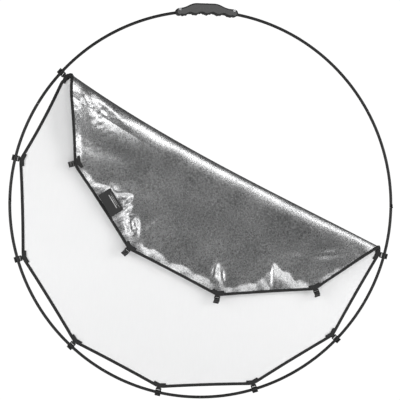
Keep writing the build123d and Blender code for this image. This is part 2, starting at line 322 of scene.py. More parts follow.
@dataclass(frozen=True)
class TwoFacetPaintedLight(Moulded):
    """Moulded plate with painted light: its right facet is painted lighter than its left one, as if lit
    more, with a painted highlight along the ridge between.
    """

    # The pale band at ridge_at is a painted highlight, and the tone step across it is painted light that
    # makes the right facet lighter than the left.
    ridge_at: float = -0.007
    ridge_sharpness: float = 700.0
    ridge_highlight_gain: float = 0.3
    step_sharpness: float = 220.0
    facet_shade_gain: float = 0.14
    drift_gain: float = 0.6
    base_tone: float = 0.2

    def pattern(self, tree: bpy.types.NodeTree, vector: bpy.types.NodeSocket) -> tuple:
        """Grain as on any moulding, with painted light in the colour too: the right side of the ridge
        painted lighter, and a painted highlight along the ridge.
        """
        drift, rough, height = super().pattern(tree, vector)
        parts = tree.nodes.new("ShaderNodeSeparateXYZ")
        tree.links.new(vector, parts.inputs[0])
        # Painted light: a tone step lights the right facet, and a bell-shaped pale band paints a highlight
        # along the ridge.
        away = math_node(tree, "SUBTRACT", parts.outputs["X"], self.ridge_at)
        step = math_node(tree, "TANH", math_node(tree, "MULTIPLY", away, self.step_sharpness))
        ridge = math_node(tree, "MULTIPLY", away, self.ridge_sharpness)
        spread = math_node(tree, "ADD", 1.0, math_node(tree, "MULTIPLY", ridge, ridge))
        ridge_highlight = math_node(tree, "DIVIDE", self.ridge_highlight_gain, spread)
        uneven = math_node(tree, "MULTIPLY", drift, self.drift_gain)
        mixed = math_node(tree, "ADD", uneven, math_node(tree, "MULTIPLY", step, self.facet_shade_gain))
        tone = math_node(tree, "ADD", math_node(tree, "ADD", mixed, self.base_tone), ridge_highlight)
        return tone, rough, height


WHITE_CLOTH = Woven(
    "white_cloth", (0.885, 0.887, 0.89), (0.9, 0.902, 0.905), (0.62, 0.8), bump=0.12, pitch=0.0007
)
# The foil's colour carries painted reflection: large soft mottling over its sparkle.
SILVER_FOIL = Foil(
    "silver_foil",
    (0.34, 0.345, 0.35),
    (0.94, 0.94, 0.945),
    (0.22, 0.34),
    metallic=1.0,
    bump=0.22,
    bump_distance=0.0004,
)
TAPE = Woven("binding_tape", (0.008, 0.008, 0.009), (0.02, 0.02, 0.021), (0.6, 0.85), bump=0.6, pitch=0.0005)
WEBBING = Woven("webbing", (0.007, 0.007, 0.008), (0.022, 0.022, 0.024), (0.55, 0.8), bump=0.8, pitch=0.0009)
THREAD = Woven("stitch_thread", (0.02, 0.02, 0.021), (0.05, 0.05, 0.052), (0.5, 0.7), bump=0.3, pitch=0.0003)
LABEL_CLOTH = Woven(
    "label_cloth", (0.012, 0.012, 0.013), (0.03, 0.03, 0.032), (0.45, 0.6), bump=0.5, pitch=0.0004
)
LABEL_THREAD = Woven("label_thread", (0.5, 0.5, 0.5), (0.7, 0.7, 0.7), (0.5, 0.6), bump=0.3, pitch=0.0003)
TUBE_COAT = Moulded("satin_black_tube", (0.012, 0.012, 0.013), (0.02, 0.02, 0.021), (0.3, 0.42), 0.0, 0.08)
CLIP_PLASTIC = Moulded("clip_plastic", (0.01, 0.01, 0.011), (0.018, 0.018, 0.019), (0.34, 0.5), 0.0, 0.15)
RUBBER = Moulded(
    "grip_rubber", (0.016, 0.016, 0.017), (0.028, 0.028, 0.029), (0.55, 0.75), bump=0.35, scale=1400.0
)
# Grip insert with painted light: its right facet painted lighter and a painted highlight along its ridge.
INSERT_PLASTIC_PAINTED_LIGHT = TwoFacetPaintedLight("grip_insert", (0.05, 0.051, 0.053), (0.2, 0.201, 0.204), (0.42, 0.6), 0.0, 0.3)
STEEL = Moulded("bright_steel", (0.5, 0.5, 0.51), (0.68, 0.68, 0.69), (0.22, 0.36), 1.0, 0.05)
SHEATH = Woven("cord_sheath", (0.03, 0.03, 0.033), (0.07, 0.07, 0.075), (0.6, 0.8), bump=0.6, pitch=0.0006)
FLOOR_PAINT = Moulded(
    "pale_floor", (0.78, 0.78, 0.78), (0.8, 0.8, 0.8), (0.7, 0.8), bump=0.02, glow=0.36, scale=60.0
)


# ------------------------------------------------------------------------------------------------
# Mesh helpers
# ------------------------------------------------------------------------------------------------


def finish_mesh(
    bm: bmesh.types.BMesh, name: str, finishes: Sequence[Finish], smooth: bool = True
) -> bpy.types.Object:
    """Turn a bmesh into a linked object with its materials.

    Args:
        bm: The shape; it is freed.
        name: The piece's name.
        finishes: One finish for each material index.
        smooth: Whether the faces shade smoothly.

    Returns:
        The new object, at the origin.
    """
    mesh = bpy.data.meshes.new(name)
    for face in bm.faces:
        face.smooth = smooth
    bm.to_mesh(mesh)
    bm.free()
    for finish in finishes:
        mesh.materials.append(finish.material())
    piece = bpy.data.objects.new(name, mesh)
    bpy.context.scene.collection.objects.link(piece)
    return piece


def sharpen(piece: bpy.types.Object, degrees: float = 35.0) -> None:
    """Mark the edges above an angle as sharp, so that only rounded edges shade smoothly."""
    bm = bmesh.new()
    bm.from_mesh(piece.data)
    for edge in bm.edges:
        if len(edge.link_faces) == 2 and edge.calc_face_angle(0.0) > math.radians(degrees):
            edge.smooth = False
    bm.to_mesh(piece.data)
    bm.free()


def sweep(bm: bmesh.types.BMesh, stations: Sequence[Matrix], segments: int = 12) -> None:
    """Sweep a unit circle through stations, with closed ends.

    Args:
        bm: The bmesh that takes the shape.
        stations: A matrix for each section, which turns, scales and moves the circle.
        segments: Corners of the section.
    """
    before = None
    first = None
    for station in stations:
        ring = bmesh.ops.create_circle(bm, cap_ends=False, radius=1.0, segments=segments, matrix=station)
        edges = list({edge for vertex in ring["verts"] for edge in vertex.link_edges})
        if before is not None:
            bmesh.ops.bridge_loops(bm, edges=before + edges)
        else:
            first = edges
        before = edges
    bmesh.ops.holes_fill(bm, edges=first, sides=segments)
    bmesh.ops.holes_fill(bm, edges=before, sides=segments)


def section_frames(points: Sequence[Vector], face: Vector, wide: float, thick: float) -> list[Matrix]:
    """Sections across a path, for sweep.

    Args:
        points: The path.
        face: The direction that the flat side faces.
        wide: Half the width, across the path.
        thick: Half the thickness, along face.

    Returns:
        One matrix for each point.
    """
    frames = []
    for index, point in enumerate(points):
        ahead = points[min(index + 1, len(points) - 1)] - points[max(index - 1, 0)]
        forward = ahead.normalized()
        across = face.cross(forward).normalized()
        out = forward.cross(across).normalized()
        matrix = Matrix.Identity(4)
        for row in range(3):
            matrix[row][0] = across[row] * wide
            matrix[row][1] = out[row] * thick
            matrix[row][2] = forward[row] * wide
            matrix[row][3] = point[row]
        frames.append(matrix)
    return frames


def thickened(bm: bmesh.types.BMesh, faces: Sequence[bmesh.types.BMFace], by: Vector) -> None:
    """Extrude faces and move the new ones by a vector."""
    grown = bmesh.ops.extrude_face_region(bm, geom=faces)
    moved = [v for v in grown["geom"] if isinstance(v, bmesh.types.BMVert)]
    bmesh.ops.translate(bm, vec=by, verts=moved)


def bevel_all(bm: bmesh.types.BMesh, size: float, segments: int = 2, above: float = 20.0) -> None:
    """Round every edge whose faces turn by more than an angle in degrees."""
    edges = [e for e in bm.edges if e.is_manifold and e.calc_face_angle(0.0) > math.radians(above)]
    bmesh.ops.bevel(
        bm,
        geom=edges,
        offset=size,
        segments=segments,
        profile=0.5,
        affect="EDGES",
        clamp_overlap=True,
        material=-1,
    )


# ------------------------------------------------------------------------------------------------
# The disc's layout
# ------------------------------------------------------------------------------------------------


def clamped(value: float) -> float:
    """A value kept between nought and one."""
    return min(max(value, 0.0), 1.0)


def eased_step(value: float) -> float:
    """Smooth step from nought to one as the value runs from nought to one."""
    share = clamped(value)
    return share * share * (3 - 2 * share)


def joint(name: str) -> dict:
    """A joint of the frame by name."""
    return next(j for j in frame["joints"] if j["name"] == name)


@dataclass
class Layout:
    """Where the cloth lies, worked out from the frame's joints and boxes.

    Flat cloth has two coordinates, both from the ring's centre: along the fold, and across it.
    """

    corner_inset: float = 11.5 * MM
    panel_hem: float = 3.0 * MM
    flap_hem: float = 32.0 * MM
    roll_top: float = 6.0 * MM
    roll_bulge: float = 4.8 * MM
    bulge_reach: float = 0.08
    swell_right: float = -2.4 * MM
    swell_span: tuple[float, float] = (0.2, 0.7)
    lift_height: float = 8.5 * MM
    lift_crest: float = 42.0 * MM
    lift_reach: float = 0.046
    lift_span: tuple[float, float] = (0.3, 0.5)
    lift_end: float = 0.09
    sag_reach: float = 0.13
    sag_curve: tuple[float, float, float, float] = (-18.4 * MM, -15.1 * MM, 13.6 * MM, 7.8 * MM)
    back_steps: int = 40
    front_steps: int = 80
    profile_steps: int = 200

    def __post_init__(self) -> None:
        """Read the ring, the fold axis and the two sheet levels from the frame."""
        self.radius = -joint("frame_fold")["pos_m"][2]
        self.centre = Vector((0.0, 0.0, -self.radius))
        fold = joint("flap_fold")
        self.along = Vector(fold["axis"]).normalized()
        self.across = Vector((self.along.z, 0.0, -self.along.x))
        self.axis_at = (Vector(fold["pos_m"]) - self.centre).dot(self.across)
        self.axis_y = fold["pos_m"][1]
        self.panel_y = sum(corner.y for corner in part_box("panel_fabric")) / 2
        self.flap_y = 2 * self.axis_y - self.panel_y
        self.roll = (self.panel_y - self.flap_y) / 2
        self.fold_start = self.axis_at - math.pi * self.roll / 2
        self.corner_radius = self.radius - self.corner_inset
        self.half_fold = self.corner_radius * math.sqrt(1 - (self.fold_start / self.corner_radius) ** 2)
        self.panel_angles = self._angles("ring_clip_", "_turn", Matrix.Identity(4))
        self.flap_angles = self._angles("flap_clip_", "_swing", self.fold_matrix())
        self.corners = [self._corner(angle) for angle in self.panel_angles + self.flap_angles[::-1]]
        self.edges = list(zip(self.corners, self.corners[1:] + self.corners[:1]))
        self.panel_edge = self.fold_start - self.panel_hem
        self.flap_edge = 2 * self.axis_at - (self.fold_start - self.flap_hem)
        self.apex = self.fold_start + self.roll_top
        self.roll_profile = self._profile()

    def _angles(self, start: str, end: str, back: Matrix) -> list[float]:
        """Find one sheet's clips round the open disc.

        Args:
            start: What the names of their joints start with, before the number.
            end: What the names end with, after it.
            back: From where the clips lie at rest to where they are on the open disc.

        Returns:
            The angle of each clip round the ring's centre, in the order of their numbers.
        """
        places = [back @ Vector(j["pos_m"]) for j in frame["joints"] if j["name"].startswith(start)]
        names = [j["name"] for j in frame["joints"] if j["name"].startswith(start)]
        order = sorted(range(len(names)), key=lambda i: int(names[i][len(start) : -len(end)]))
        return [math.atan2(places[i].z + self.radius, places[i].x) for i in order]

    def _corner(self, angle: float) -> Vector:
        """Flat place of the corner at an angle round the open disc."""
        place = Vector((math.cos(angle), 0.0, math.sin(angle))) * self.corner_radius
        return Vector((place.dot(self.along), place.dot(self.across)))

    def crossing(self, route: Sequence[int], level: float) -> Vector:
        """Follow the outline to where it crosses a place across the fold.

        Args:
            route: Numbers of the corners to follow, in order.
            level: The place across the fold.

        Returns:
            The flat place of the crossing.
        """
        for first, second in zip(route, route[1:]):
            a, b = self.corners[first], self.corners[second]
            if (a.y - level) * (b.y - level) <= 0:
                return a + (b - a) * ((level - a.y) / (b.y - a.y))
        raise ValueError(f"the outline doesn't cross {level}")

    def left(self, level: float) -> Vector:
        """Crossing of the outline at the first ring clip's end of the fold."""
        return self.crossing((len(self.panel_angles) + len(self.flap_angles) - 1, 0, 1), level)

    def right(self, level: float) -> Vector:
        """Crossing of the outline at the last ring clip's end of the fold."""
        last = len(self.panel_angles) - 1
        return self.crossing((last + 1, last, last - 1), level)

    def _profile(self) -> list[tuple[float, float]]:
        """Rolled fold seen along its axis: across and depth, evenly spaced along the cloth."""
        back_depth = self.roll
        front_y = self.flap_y - self.roll_bulge
        apex_y = self.panel_y - back_depth
        points = []
        for step in range(self.back_steps + 1):
            turn = math.pi / 2 * step / self.back_steps
            reach = self.apex - self.panel_edge
            points.append((self.panel_edge + reach * math.sin(turn), apex_y + back_depth * math.cos(turn)))
        for step in range(1, self.front_steps + 1):
            turn = math.pi / 2 * step / self.front_steps
            reach = self.apex - (self.fold_start - self.flap_hem)
            depth = apex_y - front_y
            points.append((self.apex - reach + reach * math.cos(turn), apex_y - depth * math.sin(turn)))
        lengths = [0.0]
        for a, b in zip(points, points[1:]):
            lengths.append(lengths[-1] + math.dist(a, b))
        even = []
        index = 0
        for step in range(self.profile_steps + 1):
            want = lengths[-1] * step / self.profile_steps
            while index < len(lengths) - 2 and lengths[index + 1] < want:
                index += 1
            share = (want - lengths[index]) / (lengths[index + 1] - lengths[index])
            a, b = points[index], points[index + 1]
            even.append((a[0] + (b[0] - a[0]) * share, a[1] + (b[1] - a[1]) * share))
        return even

    def sag(self, along: float) -> float:
        """How far the fold hangs below its straight line, at a place along it."""
        x = along / self.half_fold
        a, b, c, d = self.sag_curve
        return a + b * x + c * x * x + d * x**3

    def swell(self, along: float) -> float:
        """How much further the flap bulges towards the last ring clip's end of the fold."""
        start, span = self.swell_span
        return self.swell_right * eased_step((-along / self.half_fold - start) / span)

    def lift(self, along: float, below: float) -> float:
        """Swelling of the flap below the fold, near the first ring clip.

        Args:
            along: Flat place along the fold.
            below: Distance below the rolled fold.

        Returns:
            How far the flap stands out to the front, in metres.
        """
        place = along / self.half_fold
        start, span = self.lift_span
        height = self.lift_height * eased_step((place - start) / span)
        height *= clamped((1.0 - place) / self.lift_end)
        rise = below / self.lift_crest
        if rise < 1.0:
            return height * rise * (1.5 - 0.5 * rise * rise)
        return height * math.exp(-(((below - self.lift_crest) / self.lift_reach) ** 2))

    def folded(self, along: float, across: float) -> tuple[float, float]:
        """Fold flat cloth.

        Args:
            along: Flat place along the fold.
            across: Flat place across it.

        Returns:
            Place across the fold at rest, and depth.
        """
        if across <= self.panel_edge:
            below = self.panel_edge - across
            drop = self.sag(along) * math.exp(-((below / self.sag_reach) ** 2))
            return across + drop, self.panel_y
        if across >= self.flap_edge:
            below = across - self.flap_edge
            start = self.fold_start - self.flap_hem
            drop = self.sag(along) * math.exp(-((below / self.sag_reach) ** 2))
            bulge = (self.roll_bulge + self.swell(along)) * math.exp(-((below / self.bulge_reach) ** 2))
            bulge += self.lift(along, below)
            return start - below + drop, self.flap_y - bulge
        share = (across - self.panel_edge) / (self.flap_edge - self.panel_edge) * self.profile_steps
        index = min(int(share), self.profile_steps - 1)
        a, b = self.roll_profile[index], self.roll_profile[index + 1]
        part = share - index
        drop = self.sag(along)
        swell = self.swell(along) * (1 - math.cos(math.pi * share / self.profile_steps)) / 2
        return a[0] + (b[0] - a[0]) * part + drop, a[1] + (b[1] - a[1]) * part - swell

    def point(self, along: float, across: float, depth: float) -> Vector:
        """A point in space from its place along and across at rest, and its depth."""
        return self.centre + self.along * along + self.across * across + Vector((0.0, depth, 0.0))

    def fold_matrix(self) -> Matrix:
        """Half turn about the fold axis, from the open disc to the folded flap."""
        pivot = self.centre + self.across * self.axis_at + Vector((0.0, self.axis_y, 0.0))
        turn = Matrix.Rotation(math.pi, 4, self.along)
        return Matrix.Translation(pivot) @ turn @ Matrix.Translation(-pivot)


# ------------------------------------------------------------------------------------------------
# Cloth
# ------------------------------------------------------------------------------------------------


@dataclass(frozen=True)
class Crease:
    """A ridge or valley in the flap, between two places at rest, in millimetres."""

    start: tuple[float, float]
    end: tuple[float, float]
    width: float
    depth: float
    cut_off: float = 3.0
    end_share: float = 0.35

    def height(self, along: float, across: float) -> float:
        """Rise towards the front at a place at rest, in metres."""
        a, b = Vector(self.start) * MM, Vector(self.end) * MM
        here = Vector((along, across))
        line = b - a
        share = clamped((here - a).dot(line) / line.length_squared)
        away = (here - (a + line * share)).length / (self.width * MM)
        if away > self.cut_off:
            return 0.0
        fade = self.end_share + (1.0 - self.end_share) * math.sin(math.pi * share)
        return self.depth * MM * math.exp(-away * away) * fade


@dataclass
class Cloth:
    """The disc's cloth: the panel, the rolled fold and the flap, and the tape round their edges."""

    layout: Layout
    thickness: float = 0.5 * MM
    tape_cover: float = 2.0 * MM
    tape_half_width: float = 3.3 * MM
    tape_inset: float = 0.3 * MM
    tape_half_thick: float = 1.5 * MM
    tape_overlap: float = 0.8 * MM
    turn_share: float = 0.45
    stitch_inset: float = 1.9 * MM
    stitch_shortest: float = 2.4 * MM
    stitch_gap: float = 0.18
    stitch_lift: float = 0.86
    stitch_half: tuple[float, float] = (0.28 * MM, 0.25 * MM)
    panel_cell: tuple[float, float] = (5.0 * MM, 5.0 * MM)
    strip_cell: tuple[float, float] = (3.0 * MM, 1.2 * MM)
    flap_cell: tuple[float, float] = (3.0 * MM, 3.0 * MM)
    bows: dict[int, float] = field(default_factory=lambda: {0: 3.0 * MM})
    plain_bow: float = 1.2 * MM
    bow_reach: float = 0.05
    fold_skew: float = 12.0 * MM
    skew_reach: tuple[float, float] = (0.07, 0.13)
    panel_looseness: float = 0.45
    slow_waves: float = 7.0
    slow_rise: float = 1.6 * MM
    middle_waves: float = 19.0
    middle_rise: float = 0.7 * MM
    pucker_waves: tuple[float, float] = (55.0, 9.0)
    pucker_rise: float = 1.3 * MM
    pucker_reach: float = 0.018
    drape_waves: tuple[float, float, float] = (11.0, 7.0, 1.8)
    drape_rise: float = 3.0 * MM
    drape_inset: float = 0.04
    seam_fades: tuple[float, float] = (0.03, 0.02)
    hem_widths: tuple[tuple[float, ...], ...] = (
        (9.0, 7.0, 12.0, 9.0),
        (15.0, 30.0, 60.0, 22.0, 17.0, 20.0),
        (18.0, 20.0, 18.0, 24.0, 30.0),
        (26.0, 52.0, 60.0, 60.0, 54.0, 34.0, 14.0, 11.0, 14.0),
        (13.0, 12.0, 16.0, 26.0, 34.0),
    )
    scallop_base: float = 0.6
    scallops: tuple[tuple[float, float, float], ...] = ((17.0, 0.3, 0.8), (46.0, 5.3, 0.5))
    hem_waves: tuple[float, float] = (60.0, 25.0)
    hem_evenness: float = 0.85
    hem_unevenness: float = 0.6
    hem_slope: float = 0.27
    hem_drop: float = 6.5 * MM
    hem_ridge: float = 0.03
    ridge_reach: float = 0.06
    corner_clear: float = 0.016
    front_start: float = -17.0 * MM
    front_room: float = 6.0 * MM
    crumple_rise: float = 1.6 * MM
    crumple_at: tuple[float, float] = (0.05, 0.02)
    crumple_reach: tuple[float, float] = (0.055, 0.05)
    crumple_waves: tuple[float, float] = (95.0, 60.0)
    fine_waves: tuple[float, float] = (190.0, 130.0)
    fine_share: float = 0.4
    creases: tuple[Crease, ...] = (
        Crease((345, 88), (275, 0), 8.0, 4.0),
        Crease((335, 84), (296, 30), 7.0, 3.0),
        Crease((340, 96), (225, 62), 9.0, 2.6),
        Crease((185, -66), (150, -92), 9.0, 3.0),
        Crease((128, -100), (104, -128), 6.0, 3.6),
        Crease((112, -96), (92, -126), 6.0, -3.0),
        Crease((-96, -96), (-118, -128), 6.0, 3.4),
        Crease((-84, -92), (-96, -128), 6.0, -3.0),
        Crease((-240, 10), (-320, 66), 9.0, 1.5),
        Crease((-205, -20), (-262, 26), 10.0, -1.2),
        Crease((60, -60), (-90, -20), 40.0, 1.6),
        Crease((190, 0), (60, 40), 36.0, -1.4),
    )

    def bowed(self, along: float, across: float) -> Vector:
        """Move flat cloth to where the tape has drawn it, between the corners and beside the fold.

        Args:
            along: Flat place along the fold.
            across: Flat place across it.

        Returns:
            The flat place after it.
        """
        here = Vector((along, across))
        moved = here.copy()
        for index, (a, b) in enumerate(self.layout.edges):
            line = b - a
            share = (here - a).dot(line) / line.length_squared
            if not 0.0 < share < 1.0:
                continue
            inward = Vector((-line.y, line.x)).normalized()
            if inward.dot(-a) < 0:
                inward = -inward
            away = (here - a).dot(inward)
            bow = self.bows.get(index, self.plain_bow)
            moved += inward * bow * 4 * share * (1 - share) * math.exp(-abs(away) / self.bow_reach)
        low, high = self.layout.panel_edge, self.layout.flap_edge
        if across > low:
            share = min((across - low) / (high - low), 1.0)
            sideways, down = self.skew_reach
            reach = math.exp(-(((across - low) / down) ** 2)) * share * (2 - share)
            end = self.layout.left(min(max(across, low), high)).x
            moved.x += self.fold_skew * reach * math.exp(-abs(end - along) / sideways)
        return moved

    def edge_distance(self, along: float, across: float) -> tuple[float, float]:
        """Find the nearest edge of the open disc.

        Args:
            along: Flat place along the fold.
            across: Flat place across it.

        Returns:
            Distance from the edge, and the edge's number plus the place along it in metres.
        """
        best, place = 1.0, 0.0
        here = Vector((along, across))
        for index, (a, b) in enumerate(self.layout.edges):
            line = (b - a).normalized()
            away = abs((here - a).x * line.y - (here - a).y * line.x)
            if away < best:
                best, place = away, (here - a).dot(line) + index
        return best, place

    def ripple(self, along: float, across: float, side: int) -> float:
        """Rise of the cloth towards the front from its own unevenness.

        Args:
            along: Flat place along the fold.
            across: Flat place across it.
            side: 1 on the flap, which hangs loose, and -1 on the panel, which is held all round.

        Returns:
            The rise in metres.
        """
        loose = 1.0 if side > 0 else self.panel_looseness
        slow = noise.noise(Vector((along * self.slow_waves, across * self.slow_waves, 3.0 * side)))
        middle = noise.noise(Vector((along * self.middle_waves, across * self.middle_waves, 9.0 + side)))
        away, place = self.edge_distance(along, across)
        pull = math.exp(-away / self.pucker_reach)
        lengthwise, inwards = self.pucker_waves
        pucker = noise.noise(Vector((place * lengthwise, away * inwards, side)))
        middle_part = (self.slow_rise * slow + self.middle_rise * middle) * (1 - pull)
        return loose * (middle_part + self.pucker_rise * pucker * pull)

    def hem(self, along: float, across: float) -> float:
        """Drop of the flap's crumpled border towards the panel, with a scalloped hinge line.

        Args:
            along: Flat place along the fold.
            across: Flat place across it.

        Returns:
            The rise towards the front in metres, below nought where the border drops.
        """
        away, place = self.edge_distance(along, across)
        index = int(place)
        first = len(self.layout.panel_angles) - 1
        if not first <= index < first + len(self.hem_widths):
            return 0.0
        widths = self.hem_widths[index - first]
        a, b = self.layout.edges[index]
        length = (b - a).length
        at = min(max(place - index, 0.0), length)
        spot = at / length * (len(widths) - 1)
        low = min(int(spot), len(widths) - 2)
        scallop = self.scallop_base
        for waves, seed, share in self.scallops:
            scallop += share * abs(noise.noise(Vector((place * waves, seed, 0.0))))
        plain = (widths[low] + (widths[low + 1] - widths[low]) * (spot - low)) * MM
        width = plain * scallop
        corner = 1 - math.exp(-((min(at, length - at) / self.corner_clear) ** 2))
        lengthwise, inwards = self.hem_waves
        wave = noise.noise(Vector((place * lengthwise, away * inwards, 2.0)))
        crumple = self.hem_evenness + self.hem_unevenness * wave
        ridge = self.hem_ridge * plain * math.exp(-((max(away - plain, 0.0) / self.ridge_reach) ** 2))
        level = ridge - self.hem_slope * crumple * max(width - away, 0.0)
        if level < 0.0:
            level = -self.hem_drop * (1.0 - math.exp(level / self.hem_drop))
        return level * corner

    def crumple(self, along: float, across: float) -> float:
        """Small sharp wrinkles of the flap where it is gathered beside the first ring clip.

        Args:
            along: Flat place along the fold.
            across: Flat place across it.

        Returns:
            The rise towards the front, in metres.
        """
        end = self.layout.left(self.layout.flap_edge)
        inwards, down = self.crumple_at
        wide, high = self.crumple_reach
        near = math.exp(-(((along - end.x + inwards) / wide) ** 2) - ((across - end.y - down) / high) ** 2)
        (coarse_x, coarse_y), (fine_x, fine_y) = self.crumple_waves, self.fine_waves
        wave = noise.noise(Vector((along * coarse_x, across * coarse_y, 7.0)))
        fine = noise.noise(Vector((along * fine_x, across * fine_y, 1.0)))
        return self.crumple_rise * near * (1.0 - 2.0 * abs(wave) + self.fine_share * fine)

    def eased(self, depth: float) -> float:
        """Depth of a place with its outermost reach to the front eased off."""
        past = self.front_start - depth
        if past <= 0.0:
            return depth
        return self.front_start - self.front_room * (1.0 - math.exp(-past / self.front_room))

    def drape(self, along: float, across: float) -> float:
        """Soft tension folds of the panel, across its diagonal."""
        first, second, lengthwise = self.drape_waves
        place = Vector((along * first + across * second, (along - across) * lengthwise, 4.0))
        return self.drape_rise * noise.noise(place)

    def rest(self, along: float, across: float) -> Vector:
        """Lay flat cloth where it is at rest.

        Args:
            along: Flat place along the fold.
            across: Flat place across it.

        Returns:
            The place in space.
        """
        flat = self.bowed(along, across)
        at, depth = self.layout.folded(flat.x, flat.y)
        low, high = self.layout.panel_edge, self.layout.flap_edge
        if flat.y <= low:
            away, _ = self.edge_distance(flat.x, flat.y)
            inner = 1 - math.exp(-((away / self.drape_inset) ** 2))
            rise = self.ripple(flat.x, flat.y, -1) + self.drape(flat.x, flat.y) * inner
            rise *= 1 - math.exp(-(((low - flat.y) / self.seam_fades[0]) ** 2))
        else:
            share = eased_step((flat.y - low) / (high - low))
            rise = self.ripple(flat.x, flat.y, 1) * share
            rise += share * sum(c.height(flat.x, at) for c in self.creases)
            if flat.y > high:
                fade = 1 - math.exp(-(((flat.y - high) / self.seam_fades[1]) ** 2))
                rise += self.hem(flat.x, flat.y) * fade
            rise += self.crumple(flat.x, flat.y) * share
        return self.layout.point(flat.x, at, self.eased(depth - rise))

    def sheet(self, name: str, low: float, high: float, cell: tuple[float, float]) -> bpy.types.Object:
        """Cut one piece of cloth between two places across the fold, and fold it.

        Args:
            name: The piece's name.
            low: Place across the fold where it begins.
            high: Place where it ends.
            cell: Size of its mesh cells, along and across.

        Returns:
            The piece, with its thickness as a modifier.
        """
        size = self.layout.corner_radius
        bm = bmesh.new()
        steps = int(2 * size / cell[0])
        rows = max(int((high - low) / cell[1]), 8)
        stretch = Matrix.Diagonal((1.0, (high - low) / (2 * size), 1.0, 1.0))
        lift = Matrix.Translation((0.0, (high + low) / 2, 0.0))
        bmesh.ops.create_grid(bm, x_segments=steps, y_segments=rows, size=size, matrix=lift @ stretch)
        for a, b in self.layout.edges:
            line = b - a
            outward = Vector((line.y, -line.x, 0.0)).normalized()
            if outward.dot(Vector((a.x, a.y, 0.0))) < 0:
                outward = -outward
            bmesh.ops.bisect_plane(
                bm,
                geom=bm.verts[:] + bm.edges[:] + bm.faces[:],
                dist=1e-6,
                plane_co=Vector((a.x, a.y, 0.0)) - outward * self.tape_cover,
                plane_no=outward,
                clear_outer=True,
            )
        bmesh.ops.reverse_faces(bm, faces=bm.faces[:])
        for vertex in bm.verts:
            vertex.co = self.rest(vertex.co.x, vertex.co.y)
        piece = finish_mesh(bm, name, (WHITE_CLOTH, SILVER_FOIL))
        solid = piece.modifiers.new("cloth_thickness", "SOLIDIFY")
        solid.thickness = self.thickness
        solid.offset = 0.0
        solid.material_offset = 1
        solid.use_rim = False
        return piece

    def tape_path(
        self, corners: Sequence[Vector], step: float = 5.0 * MM, rounding: float = 9.0 * MM
    ) -> list[Vector]:
        """Flat path of a tape through corners, with rounded turns.

        Args:
            corners: Flat places that the tape turns at, and its two ends.
            step: Distance between the path's points.
            rounding: How far before and after a corner its turn reaches.

        Returns:
            The path's points.
        """
        inset = [point * (1 - self.tape_inset / point.length) for point in corners]
        path = [inset[0]]
        previous = 0.0
        for index in range(1, len(inset)):
            a, b = inset[index - 1], inset[index]
            line = b - a
            last = index == len(inset) - 1
            after = rounding
            if not last:
                shorter = min(line.length, (inset[index + 1] - b).length)
                after = min(rounding, shorter * self.turn_share)
            begin = previous
            stop = line.length - (0.0 if last else after)
            count = max(int((stop - begin) / step), 2)
            for number in range(0 if index > 1 else 1, count + 1):
                path.append(a + line.normalized() * (begin + (stop - begin) * number / count))
            if not last:
                ahead = (inset[index + 1] - b).normalized()
                start, finish = path[-1], b + ahead * after
                previous = after
                for turn in (0.25, 0.5, 0.75):
                    path.append(start * (1 - turn) ** 2 + b * 2 * turn * (1 - turn) + finish * turn**2)
        return path

    def tape(self, name: str, corners: Sequence[Vector]) -> bpy.types.Object:
        """Binding tape along corners of the open disc, laid where the folded cloth lies."""
        points = [self.rest(p.x, p.y) for p in self.tape_path(corners)]
        bm = bmesh.new()
        stations = section_frames(points, FRONT, self.tape_half_width, self.tape_half_thick)
        sweep(bm, stations, 14)
        bmesh.ops.recalc_face_normals(bm, faces=bm.faces[:])
        return finish_mesh(bm, name, (TAPE,))

    def stitches(self, name: str, corners: Sequence[Vector], pitch: float = 4.2 * MM) -> bpy.types.Object:
        """Row of stitches on both sides of a tape, near its inner edge.

        Args:
            name: The piece's name.
            corners: Flat places that the tape runs through.
            pitch: Distance from stitch to stitch.

        Returns:
            The row as one piece.
        """
        path = self.tape_path([c * (1 - self.stitch_inset / c.length) for c in corners], pitch)
        bm = bmesh.new()
        for a, b in zip(path, path[1:]):
            if (b - a).length < self.stitch_shortest:
                continue
            start = self.rest(*(a + (b - a) * self.stitch_gap))
            finish = self.rest(*(a + (b - a) * (1 - self.stitch_gap)))
            for side in (-1.0, 1.0):
                lift = Vector((0.0, side * (self.tape_half_thick * self.stitch_lift), 0.0))
                frames = section_frames([start + lift, finish + lift], FRONT, *self.stitch_half)
                sweep(bm, frames, 5)
        return finish_mesh(bm, name, (THREAD,))

